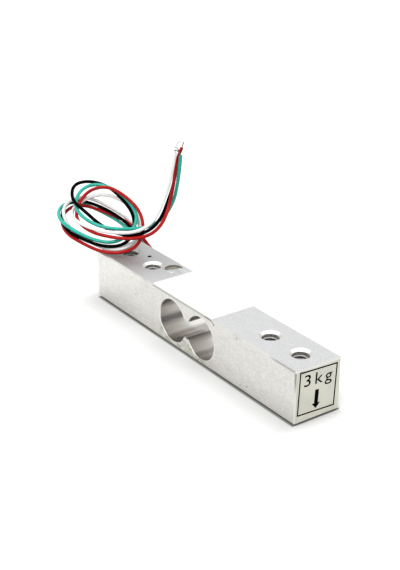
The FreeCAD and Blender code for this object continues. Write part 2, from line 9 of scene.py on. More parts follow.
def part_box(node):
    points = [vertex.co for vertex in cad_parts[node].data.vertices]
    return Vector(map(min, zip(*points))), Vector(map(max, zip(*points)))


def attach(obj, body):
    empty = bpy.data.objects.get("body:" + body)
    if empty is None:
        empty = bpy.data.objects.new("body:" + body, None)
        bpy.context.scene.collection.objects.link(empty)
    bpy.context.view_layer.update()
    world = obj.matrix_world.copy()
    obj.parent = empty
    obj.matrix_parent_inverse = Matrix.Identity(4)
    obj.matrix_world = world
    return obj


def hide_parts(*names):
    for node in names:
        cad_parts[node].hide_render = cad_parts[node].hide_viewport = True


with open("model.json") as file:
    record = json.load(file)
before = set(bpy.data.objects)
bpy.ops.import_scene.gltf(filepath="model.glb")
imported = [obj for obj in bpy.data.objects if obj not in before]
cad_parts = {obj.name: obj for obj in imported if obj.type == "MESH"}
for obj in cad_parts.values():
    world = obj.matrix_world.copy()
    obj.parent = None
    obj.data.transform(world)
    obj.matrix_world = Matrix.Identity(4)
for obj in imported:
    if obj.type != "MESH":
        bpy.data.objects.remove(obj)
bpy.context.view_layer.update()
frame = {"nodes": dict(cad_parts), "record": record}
nodes = frame["nodes"]
mm = 0.001  # places and sizes are in metres, so 3 * mm is 3 mm
barMiddle = 6.7 * mm  # half-way up the bar
coatX = (-14.2 * mm, 9.9 * mm)  # far and near edge of the sealant coats
passageMouth = (-19.0 * mm, 3.1 * mm)  # middle of the wire passage
mergeGap = 0.001 * mm  # points nearer than this become one
print("frame loaded:", len(nodes), "nodes")

# camera, at the photograph's viewing angle
cameraSet = {
    "azimuth": 54.71,
    "elevation": 24.53,
    "distance": 0.28365,
    "aim": (0.0, 0.0, barMiddle),
    "aside": -1.91 * mm,
    "lift": 8.87 * mm,
    "lens": 75.66,
    "nearest": 0.01,
}


def makeCamera(part):
    turn, rise = math.radians(part["azimuth"]), math.radians(part["elevation"])
    back = Vector((math.sin(turn) * math.cos(rise), -math.cos(turn) * math.cos(rise), math.sin(rise)))
    right = Vector((0, 0, 1)).cross(back).normalized()
    up = back.cross(right)
    camera = bpy.data.objects.new("photoCamera", bpy.data.cameras.new("photoCamera"))
    bpy.context.collection.objects.link(camera)
    camera.location = (
        Vector(part["aim"]) + right * part["aside"] + up * part["lift"] + back * part["distance"])
    camera.rotation_euler = (math.pi / 2 - rise, 0, turn)
    camera.data.lens = part["lens"]
    camera.data.clip_start = part["nearest"]
    bpy.context.scene.camera = camera


makeCamera(cameraSet)
print("camera set")


# node helpers
def addNode(tree, kind, **settings):
    node = tree.nodes.new(kind)
    for name, choice in settings.items():
        setattr(node, name, choice)
    return node


def plug(tree, source, socket):
    # a socket is wired, anything else is set as the socket's own value
    if isinstance(source, bpy.types.NodeSocket):
        tree.links.new(source, socket)
    else:
        socket.default_value = source


def calc(tree, operation, *values):
    node = addNode(tree, "ShaderNodeMath", operation=operation)
    for index, value in enumerate(values):
        plug(tree, value, node.inputs[index])
    return node.outputs[0]


def chain(tree, operation, masks):
    result, *others = masks
    for mask in others:
        result = calc(tree, operation, result, mask)
    return result


def both(tree, *masks):
    return chain(tree, "MULTIPLY", masks)


def either(tree, *masks):
    return chain(tree, "MAXIMUM", masks)


def outside(tree, mask):
    return calc(tree, "SUBTRACT", 1.0, mask)


def offset(tree, value, middle):
    return calc(tree, "SUBTRACT", value, middle)


def apart(tree, value, middle):
    return calc(tree, "ABSOLUTE", offset(tree, value, middle))


def reach(tree, first, second):
    # length of the flat vector (first, second)
    squares = (calc(tree, "POWER", value, 2.0) for value in (first, second))
    return calc(tree, "SQRT", calc(tree, "ADD", *squares))


def ease(tree, value, start, end, low=0.0, high=1.0):
    node = addNode(tree, "ShaderNodeMapRange", interpolation_type="SMOOTHSTEP")
    for name, number in (("From Min", start), ("From Max", end), ("To Min", low), ("To Max", high)):
        plug(tree, number, node.inputs[name])
    plug(tree, value, node.inputs["Value"])
    return node.outputs["Result"]


def mixColour(tree, share, first, second):
    node = addNode(tree, "ShaderNodeMix", data_type="RGBA")
    plug(tree, share, node.inputs["Factor"])
    plug(tree, first, node.inputs[6])
    plug(tree, second, node.inputs[7])
    return node.outputs[2]


def mixValue(tree, share, first, second):
    node = addNode(tree, "ShaderNodeMix", data_type="FLOAT")
    for index, value in ((0, share), (2, first), (3, second)):
        plug(tree, value, node.inputs[index])
    return node.outputs[0]


def split(tree, vector):
    node = addNode(tree, "ShaderNodeSeparateXYZ")
    plug(tree, vector, node.inputs[0])
    return node.outputs


def bump(tree, height, depth):
    node = addNode(tree, "ShaderNodeBump")
    plug(tree, height, node.inputs["Height"])
    plug(tree, depth, node.inputs["Distance"])
    return node.outputs["Normal"]


def newGroup(name, inputs, outputs):
    group = bpy.data.node_groups.new(name, "ShaderNodeTree")
    for label, kind, value in inputs:
        group.interface.new_socket(label, in_out="INPUT", socket_type=kind).default_value = value
    for label in outputs:
        group.interface.new_socket(label, in_out="OUTPUT", socket_type="NodeSocketFloat")
    return group, addNode(group, "NodeGroupInput").outputs, addNode(group, "NodeGroupOutput").inputs


def makeGrainGroup():
    # fine lines or mottle: Height for a bump, Tone for slow changes of colour
    group, given, out = newGroup(
        "surfaceGrain",
        [("Vector", "NodeSocketVector", (0, 0, 0)), ("Stretch", "NodeSocketVector", (1, 1, 1)),
         ("Scale", "NodeSocketFloat", 1000.0), ("Slow", "NodeSocketFloat", 0.12)],
        ["Height", "Tone"])
    mapping = addNode(group, "ShaderNodeMapping")
    plug(group, given["Vector"], mapping.inputs["Vector"])
    plug(group, given["Stretch"], mapping.inputs["Scale"])
    slowScale = both(group, given["Scale"], given["Slow"])
    for scale, detail, output in ((given["Scale"], 4.0, "Height"), (slowScale, 2.0, "Tone")):
        cloud = addNode(group, "ShaderNodeTexNoise")
        plug(group, mapping.outputs["Vector"], cloud.inputs["Vector"])
        plug(group, scale, cloud.inputs["Scale"])
        plug(group, detail, cloud.inputs["Detail"])
        plug(group, cloud.outputs[0], out[output])
    return group


def makeSpeckGroup():
    # small round specks of dirt, in a few cells out of many
    group, given, out = newGroup(
        "dirtSpecks",
        [("Vector", "NodeSocketVector", (0, 0, 0)), ("Scale", "NodeSocketFloat", 400.0),
         ("Share", "NodeSocketFloat", 0.2), ("Size", "NodeSocketFloat", 0.2)],
        ["Mask"])
    cells = addNode(group, "ShaderNodeTexVoronoi")
    plug(group, given["Vector"], cells.inputs["Vector"])
    plug(group, given["Scale"], cells.inputs["Scale"])
    chance = addNode(group, "ShaderNodeSeparateColor")
    plug(group, cells.outputs["Color"], chance.inputs["Color"])
    picked = calc(group, "LESS_THAN", chance.outputs["Red"], given["Share"])
    edge = both(group, given["Size"], chance.outputs["Green"])
    spot = ease(group, cells.outputs["Distance"], edge, both(group, edge, 0.5))
    plug(group, both(group, picked, spot), out["Mask"])
    return group


grainGroup, speckGroup = makeGrainGroup(), makeSpeckGroup()
heightRange = (0.3, 0.7)  # most of the grain's Height lies between these
toneRange = (0.35, 0.65)  # and most of its Tone between these


def useGroup(tree, group, place, **values):
    node = addNode(tree, "ShaderNodeGroup", node_tree=group)
    plug(tree, place, node.inputs["Vector"])
    for name, value in values.items():
        plug(tree, value, node.inputs[name])
    return node.outputs


def newMaterial(name):
    material = bpy.data.materials.new(name)
    material.use_nodes = True
    tree = material.node_tree
    place = addNode(tree, "ShaderNodeTexCoord").outputs["Object"]
    return material, tree, tree.nodes["Principled BSDF"].inputs, place


# plain finishes: light and dark tone and the range of roughness, with metal, gloss or grain where they
# differ from the usual ones, and the painted shade on the underside of the leads
plainLooks = {
    "red_insulation": {
        "light": (0.41, 0.008, 0.007), "dark": (0.34, 0.004, 0.004), "under": (0.15, 0.001, 0.001),
        "rough": (0.26, 0.36), "gloss": 0.12},
    "black_insulation": {
        "light": (0.002, 0.002, 0.002), "dark": (0.001, 0.001, 0.001),
        "rough": (0.3, 0.42), "gloss": 0.012},
    "green_insulation": {
        "light": (0.025, 0.45, 0.355), "dark": (0.015, 0.37, 0.28), "under": (0.003, 0.2, 0.14),
        "rough": (0.26, 0.36), "gloss": 0.22},
    "white_insulation": {
        "light": (0.8, 0.795, 0.785), "dark": (0.73, 0.72, 0.71), "under": (0.54, 0.53, 0.51),
        "rough": (0.3, 0.42), "gloss": 0.25},
    "tinned_core": {
        "light": (0.3, 0.29, 0.26), "dark": (0.13, 0.125, 0.11), "rough": (0.3, 0.5), "metal": 1.0},
    "smear": {
        "light": (0.72, 0.735, 0.75), "dark": (0.64, 0.65, 0.655), "rough": (0.28, 0.4), "metal": 0.9},
    "potting": {
        "light": (0.37, 0.35, 0.29), "dark": (0.11, 0.103, 0.08),
        "rough": (0.4, 0.6), "grain": 14000.0, "gloss": 0.3},
    "adhesive": {
        "light": (0.3, 0.27, 0.18), "dark": (0.14, 0.125, 0.085), "rough": (0.35, 0.5), "grain": 6000.0},
    "gauge_film": {"light": (0.62, 0.36, 0.08), "dark": (0.5, 0.27, 0.05), "rough": (0.25, 0.35)},
    "gauge_foil": {"light": (0.62, 0.5, 0.38), "dark": (0.5, 0.4, 0.3), "rough": (0.25, 0.4), "metal": 1.0},
    "strip_laminate": {"light": (0.09, 0.2, 0.08), "dark": (0.06, 0.14, 0.05), "rough": (0.4, 0.6)},
    "copper": {"light": (0.85, 0.45, 0.28), "dark": (0.6, 0.28, 0.16), "rough": (0.25, 0.4), "metal": 1.0},
    "solder": {"light": (0.72, 0.72, 0.73), "dark": (0.5, 0.5, 0.52), "rough": (0.15, 0.35), "metal": 1.0},
    "enamelled_wire": {"light": (0.5, 0.16, 0.05), "dark": (0.35, 0.1, 0.03), "rough": (0.2, 0.3)},
    "ink": {
        "light": (0.003, 0.003, 0.003), "dark": (0.001, 0.001, 0.001),
        "rough": (0.5, 0.7), "gloss": 0.005},
}
plainUsual = {"metal": 0.0, "gloss": 0.5, "grain": 2600.0, "pits": 0.004 * mm}
undersideFrom = (-0.7, 0.6)  # painted shade: upward share of a lead's surface, from its shaded underside to its upper side


def makePlain(name, look):
    look = {**plainUsual, **look}
    material, tree, shader, place = newMaterial(name)
    grain = useGroup(tree, grainGroup, place, Scale=look["grain"])
    colour = mixColour(tree, ease(tree, grain["Tone"], *toneRange), (*look["dark"], 1), (*look["light"], 1))
    # painted shade: the undersides of the leads turn darker
    if "under" in look:
        slope = split(tree, addNode(tree, "ShaderNodeNewGeometry").outputs["Normal"])
        colour = mixColour(tree, ease(tree, slope["Z"], *undersideFrom), (*look["under"], 1), colour)
    plug(tree, colour, shader["Base Color"])
    plug(tree, ease(tree, grain["Height"], *heightRange, *look["rough"]), shader["Roughness"])
    plug(tree, look["metal"], shader["Metallic"])
    plug(tree, look["gloss"], shader["Specular IOR Level"])
    plug(tree, bump(tree, grain["Height"], look["pits"]), shader["Normal"])
    return material


# milled bar: satin faces, smooth bores with painted reflection bands and painted highlights on their rims,
# painted shade along the edges, adhesive marks and a few flecks
barSet = {
    "front": (0.745, 0.74, 0.705, 1),
    "frontShade": (0.635, 0.62, 0.585, 1),
    "footShadeFrom": (6.5 * mm, 0.8 * mm),  # painted shade: the sides darken towards the foot
    "footShadeShare": 0.4,
    "top": (0.762, 0.765, 0.769, 1),
    "topShade": (0.6, 0.603, 0.606, 1),
    "shadeFrom": (-10.0 * mm, -26.0 * mm),  # painted shade: the top darkens towards the far end, under the leads
    "shadeShare": 0.9,
    # grain of the metal, and the patches and speckle of its tone
    "grain": {"Stretch": (0.3, 1.0, 1.0), "Scale": 5200.0},
    "mottle": {"Stretch": (0.5, 1.0, 1.0), "Scale": 2600.0, "Slow": 0.2},
    "speckle": 0.75,  # share of the fine speckle in the patches
    "speckleRange": (0.36, 0.64),
    "frontPatches": 0.85,
    "topPatches": 0.5,
    "frontRough": (0.32, 0.46),
    "topRough": (0.42, 0.54),
    "pits": 0.003 * mm,
    # a face is square to an axis or slanted, and a slanted one leans to an axis by more than half
    "square": (0.9, 0.97),
    "slant": (0.95, 0.85),
    "lean": 0.5,
    # outer edges, by their distance from the middle of the bar: plain, with dark stretches of painted shade
    "outerFrom": (39.0 * mm, 5.8 * mm),
    "edge": (0.76, 0.755, 0.72, 1),
    # painted shade: dark stretches of the edges
    "edgeShade": (0.2, 0.195, 0.175, 1),
    "seamShade": 0.45,  # of the front edge, a painted shadow along the sealant's edge
    "nearLine": (30.0 * mm, 34.0 * mm),  # of the front edge, towards the near end
    "nearEdgeShade": 0.55,
    "spots": (0.45, 0.7),  # in spots
    "spotShade": 0.2,
    "uprightFrom": (7.0 * mm, 11.0 * mm),  # of the upright edges, towards the top
    "uprightShade": (0.15, 0.8),
    "lowEdge": 1.2 * mm,  # the lowest edges, below this, have none
    # countersinks: a painted highlight, with painted shade to the left and right of the light
    "bright": (0.92, 0.91, 0.88, 1),
    "sinkShade": (0.4, 0.395, 0.39, 1),
    "lightAcross": (0.578, 0.816),
    "sinkFrom": (0.52, 0.7),
    "sinkShare": 0.7,
    "sinkDull": 0.7,
    # bores, the neck between them and the wire passage
    "boreAxis": 5.7 * mm,
    "boreRadius": 5.3 * mm,
    "neck": (2.2 * mm, 2.4 * mm),
    "passageRadius": 2.2 * mm,
    "wall": 0.045 * mm,  # facets of a round wall stray from it by less
    # painted highlight around the bores: its width and strength
    "rim": 0.5 * mm,
    "rimHighlightShare": 0.8,
    "bore": (0.54, 0.515, 0.485, 1),
    "boreDark": (0.12, 0.115, 0.11, 1),
    "boreBright": (0.97, 0.96, 0.94, 1),
    "boreRough": 0.24,
    "borePits": 0.1,  # share of the pits
    # painted reflection bands along the bores: middle and half width in degrees down from the side, strength,
    # and what the near bore adds to the middle and the half width and the far bore takes from them
    "darkBands": ((18, 16, 0.88, -2.5, 3), (76, 26, 0.08, 0, 0)),
    "brightBands": ((-9, 21, 1.0, -4, 3), (51, 20, 0.88, 1, 0)),
    "bandCore": 0.3,  # share of their half width that is at full strength
    "passageShade": (0.2, 0.19, 0.155, 1),  # painted shade on the wall of the wire passage, brownish like the potting
    # adhesive squeezed out around the lower half of the bores and in a strip along the foot
    "adhesive": (0.28, 0.27, 0.195, 1),
    "marksBelow": (4.6 * mm, 2.4 * mm),
    "marksAround": (2.4 * mm, 0.2 * mm),
    "stripBelow": (2.0 * mm, 0.9 * mm),
    "stripReach": (16.0 * mm, 9.0 * mm),
    "stripShare": 0.5,
    "marksRange": (0.43, 0.53),
    "marksFrom": (8.5 * mm, 6.5 * mm),  # it thins out towards the near end
    "marksLeft": 0.2,
    "marksRough": 0.6,
    # specks of dirt all over and flecks on the front: along, up and radius
    "dirt": (0.16, 0.14, 0.12, 1),
    "specks": {"Scale": 260.0, "Share": 0.06, "Size": 0.08},
    "speckShare": 0.6,
    "flecks": (
        (23.5 * mm, 2.15 * mm, 0.32 * mm), (21.1 * mm, 1.45 * mm, 0.22 * mm),
        (-21.8 * mm, 7.5 * mm, 0.26 * mm), (16.5 * mm, 3.4 * mm, 0.2 * mm),
        (19.6 * mm, 12.4 * mm, 0.3 * mm)),
    "fleckCore": 0.4,
    "fleckShare": 0.85,
}


# painted shade: where the outer edges turn dark
def edgeShadeLines(tree, part, x, z, ny, level, mottle):
    seam = both(
        tree, calc(tree, "GREATER_THAN", x, coatX[0]), calc(tree, "LESS_THAN", x, coatX[1]), part["seamShade"])
    line = either(
        tree, seam, ease(tree, x, *part["nearLine"], 0.0, part["nearEdgeShade"]),
        ease(tree, mottle["Tone"], *part["spots"], 0.0, part["spotShade"]))
    upright = ease(tree, z, *part["uprightFrom"], *part["uprightShade"])
    return mixValue(tree, level, upright, both(tree, calc(tree, "GREATER_THAN", ny, part["lean"]), line))


def adhesiveMarks(tree, part, x, z, mottle, boreGap):
    around = both(
        tree, ease(tree, z, *part["marksBelow"]),
        ease(tree, boreGap, *(part["boreRadius"] + gap for gap in part["marksAround"])))
    strip = both(
        tree, ease(tree, z, *part["stripBelow"], 0.0, part["stripShare"]),
        ease(tree, apart(tree, x, 0.0), *part["stripReach"]))
    return both(
        tree, either(tree, around, strip), ease(tree, mottle["Height"], *part["marksRange"]),
        ease(tree, x, *part["marksFrom"], part["marksLeft"], 1.0))


def dirtMarks(tree, part, place, onFront):
    x, y, z = split(tree, place)
    specks = useGroup(tree, speckGroup, place, **part["specks"])
    dirt = both(tree, specks["Mask"], part["speckShare"])
    nearSide = both(tree, onFront, calc(tree, "LESS_THAN", y, 0.0))
    for middleX, middleZ, radius in part["flecks"]:
        gap = reach(tree, offset(tree, x, middleX), offset(tree, z, middleZ))
        fleck = ease(tree, gap, radius, radius * part["fleckCore"], 0.0, part["fleckShare"])
        dirt = either(tree, dirt, both(tree, nearSide, fleck))
    return dirt


# painted reflections: dark and bright bands around the walls of the bores
def boreReflectionBands(tree, part, x, z):
    side = calc(tree, "SIGN", x)
    turn = calc(
        tree, "ARCTAN2", offset(tree, barMiddle, z), offset(tree, both(tree, side, part["boreAxis"]), x))
    colour = part["bore"]
    for tone, bands in ((part["boreDark"], part["darkBands"]), (part["boreBright"], part["brightBands"])):
        for middle, half, strength, shift, spread in bands:
            middle, half = (
                calc(tree, "ADD", math.radians(usual), both(tree, side, math.radians(change)))
                for usual, change in ((middle, shift), (half, spread)))
            core = both(tree, half, part["bandCore"])
            share = ease(tree, apart(tree, turn, middle), half, core, 0.0, strength)
            colour = mixColour(tree, share, colour, tone)
    return colour


def makeBarLook(part):
    material, tree, shader, place = newMaterial("milledAluminium")
    x, y, z = split(tree, place)
    awayX, awayY, awayZ = apart(tree, x, 0.0), apart(tree, y, 0.0), apart(tree, z, barMiddle)
    slope = split(tree, addNode(tree, "ShaderNodeNewGeometry").outputs["Normal"])
    nx, ny, nz = (calc(tree, "ABSOLUTE", value) for value in slope)
    onFront, onTop = (ease(tree, value, *part["square"]) for value in (ny, nz))
    slanted = ease(tree, either(tree, nx, ny, nz), *part["slant"])
    level = calc(tree, "GREATER_THAN", nz, part["lean"])
    outer = either(
        tree, calc(tree, "GREATER_THAN", awayX, part["outerFrom"][0]),
        calc(tree, "GREATER_THAN", awayY, part["outerFrom"][1]))
    lowEdge = both(tree, slanted, outer, level, calc(tree, "LESS_THAN", z, part["lowEdge"]))

    boreGap = reach(tree, offset(tree, awayX, part["boreAxis"]), awayZ)
    inNeck = both(
        tree, calc(tree, "LESS_THAN", awayX, part["neck"][0]),
        calc(tree, "LESS_THAN", awayZ, part["neck"][1]))
    inBore = either(tree, calc(tree, "LESS_THAN", boreGap, part["boreRadius"] + part["wall"]), inNeck)
    passageGap = reach(tree, offset(tree, x, passageMouth[0]), offset(tree, y, passageMouth[1]))
    inPassage = calc(tree, "LESS_THAN", passageGap, part["passageRadius"] + part["wall"])

    grain = useGroup(tree, grainGroup, place, **part["grain"])
    mottle = useGroup(tree, grainGroup, place, **part["mottle"])
    patches = mixValue(
        tree, part["speckle"], ease(tree, mottle["Tone"], *toneRange),
        ease(tree, mottle["Height"], *part["speckleRange"]))
    # random patches, and painted shade towards the foot, darken the sides
    foot = calc(
        tree, "ADD", both(tree, patches, part["frontPatches"]),
        ease(tree, z, *part["footShadeFrom"], 0.0, part["footShadeShare"]))
    front = mixColour(tree, foot, part["front"], part["frontShade"])
    # random patches, and the painted shade towards the far end, darken the top
    shade = either(
        tree, both(tree, patches, part["topPatches"]),
        ease(tree, x, *part["shadeFrom"], 0.0, part["shadeShare"]))
    top = mixColour(tree, shade, part["top"], part["topShade"])
    face = mixColour(tree, onTop, front, top)

    # slanted faces: countersinks with a painted highlight and painted shade, and outer edges with painted
    # shade lines, of which the lowest are dull and lit from the floor
    edgeShade = both(tree, edgeShadeLines(tree, part, x, z, ny, level, mottle), outside(tree, lowEdge))
    edge = mixColour(tree, edgeShade, part["edge"], part["edgeShade"])
    across = calc(
        tree, "ABSOLUTE", calc(
            tree, "ADD", *(both(tree, *pair) for pair in zip(slope, part["lightAcross"]))))
    # painted highlight on the countersinks, with painted shade across the light
    flank = ease(tree, across, *part["sinkFrom"], 0.0, part["sinkShare"])
    sink = mixColour(tree, flank, part["bright"], part["sinkShade"])
    face = mixColour(tree, slanted, face, mixColour(tree, outer, sink, edge))

    # painted highlight on the bores' rims, adhesive, dirt, then the walls of the bores with painted
    # reflection bands and of the wire passage with painted shade
    rim = ease(
        tree, boreGap, part["boreRadius"] + part["rim"], part["boreRadius"] + part["wall"],
        0.0, part["rimHighlightShare"])
    face = mixColour(tree, both(tree, onFront, rim), face, part["bright"])
    marks = both(tree, onFront, adhesiveMarks(tree, part, x, z, mottle, boreGap))
    face = mixColour(tree, marks, face, part["adhesive"])
    dirt = dirtMarks(tree, part, place, onFront)
    face = mixColour(tree, dirt, face, part["dirt"])
    face = mixColour(tree, inBore, face, boreReflectionBands(tree, part, x, z))
    plug(tree, mixColour(tree, inPassage, face, part["passageShade"]), shader["Base Color"])

    rough = mixValue(tree, onTop, *(
        ease(tree, grain["Height"], *heightRange, *part[name]) for name in ("frontRough", "topRough")))
    rough = mixValue(tree, inBore, rough, part["boreRough"])
    plug(tree, either(tree, rough, both(tree, marks, part["marksRough"])), shader["Roughness"])
    sunk = both(tree, slanted, level, outside(tree, outer), outside(tree, inBore), part["sinkDull"])
    plug(tree, outside(tree, either(tree, marks, inPassage, dirt, lowEdge, sunk)), shader["Metallic"])
    height = both(tree, grain["Height"], mixValue(tree, inBore, 1.0, part["borePits"]))
    plug(tree, bump(tree, height, part["pits"]), shader["Normal"])
    return material


# screw threads: bright crests, and painted shade in the dark roots and on the crests deep in the holes
threadLook = {
    "crest": (0.68, 0.665, 0.64, 1),
    "root": (0.015, 0.014, 0.013, 1),
    "radius": (1.93 * mm, 1.77 * mm),  # from the roots to the crests
    "axes": (28.8 * mm, 5.2 * mm),  # middle of the two holes of an end, and half their distance
    "from": (4.2 * mm, 5.8 * mm),  # painted shade on the crests, by distance from the middle of the bar
    "deep": 0.3,  # share of the crests' tone deep inside
    "grain": 5200.0,
    "rough": (0.2, 0.35),
    "metal": 0.25,
}


def makeThreadLook(part):
    material, tree, shader, place = newMaterial("screwThread")
    x, y, z = split(tree, place)
    endGap = apart(tree, apart(tree, x, 0.0), part["axes"][0])
    crest = ease(tree, reach(tree, apart(tree, endGap, part["axes"][1]), y), *part["radius"])
    lit = ease(tree, apart(tree, z, barMiddle), *part["from"], part["deep"], 1.0)
    grain = useGroup(tree, grainGroup, place, Scale=part["grain"])
    plug(tree, mixColour(tree, both(tree, crest, lit), part["root"], part["crest"]), shader["Base Color"])
    plug(tree, ease(tree, grain["Height"], *heightRange, *part["rough"]), shader["Roughness"])
    plug(tree, part["metal"], shader["Metallic"])
    return material


# sealant: white silicone, a little greyer where it thins out
sealSet = {
    "white": (0.77, 0.77, 0.765, 1),
    "thin": (0.66, 0.655, 0.64, 1),
    "thinFrom": (0.02 * mm, 0.2 * mm),  # thickness
    "halfBar": 6.35 * mm,
    "dust": {"Scale": 500.0, "Share": 0.04, "Size": 0.08},
    "dustShare": 0.25,
    "grain": 900.0,
    "rough": (0.38, 0.55),
    "lumps": 0.06 * mm,
}


def makeSealLook(part):
    material, tree, shader, place = newMaterial("whiteSilicone")
    thick = offset(tree, apart(tree, split(tree, place)["Z"], barMiddle), part["halfBar"])
    grain = useGroup(tree, grainGroup, place, Scale=part["grain"])
    dust = useGroup(tree, speckGroup, place, **part["dust"])
    colour = mixColour(tree, ease(tree, thick, *part["thinFrom"]), part["thin"], part["white"])
    colour = mixColour(tree, both(tree, dust["Mask"], part["dustShare"]), colour, part["thin"])
    plug(tree, colour, shader["Base Color"])
    plug(tree, ease(tree, grain["Height"], *heightRange, *part["rough"]), shader["Roughness"])
    plug(tree, bump(tree, grain["Height"], part["lumps"]), shader["Normal"])
    return material


# label film: pale, with faint fibres and a few specks
filmSet = {
    "pale": (0.54, 0.535, 0.458, 1),
    "shade": (0.485, 0.48, 0.415, 1),
    "dirt": (0.4, 0.38, 0.34, 1),
    "dust": {"Scale": 420.0, "Share": 0.08, "Size": 0.1},
    "dustShare": 0.5,
    "grain": 1800.0,
    "rough": (0.3, 0.42),
    "fibres": 0.004 * mm,
}


def makeFilmLook(part):
    material, tree, shader, place = newMaterial("labelFilm")
    grain = useGroup(tree, grainGroup, place, Scale=part["grain"])
    dust = useGroup(tree, speckGroup, place, **part["dust"])
    colour = mixColour(tree, ease(tree, grain["Tone"], *toneRange), part["shade"], part["pale"])
    colour = mixColour(tree, both(tree, dust["Mask"], part["dustShare"]), colour, part["dirt"])
    plug(tree, colour, shader["Base Color"])
    plug(tree, ease(tree, grain["Height"], *heightRange, *part["rough"]), shader["Roughness"])
    plug(tree, bump(tree, grain["Height"], part["fibres"]), shader["Normal"])
    return material


looks = {name: makePlain(name, look) for name, look in plainLooks.items()}
looks["bar_aluminium"] = makeBarLook(barSet)
looks["thread"] = makeThreadLook(threadLook)
looks["sealant"] = makeSealLook(sealSet)
looks["label_film"] = makeFilmLook(filmSet)
for part in frame["record"]["subparts"]:
    node = nodes[part["node"]]
    node.data.materials.clear()
    node.data.materials.append(looks[part["material_slot"]])
print("finishes made:", len(looks))


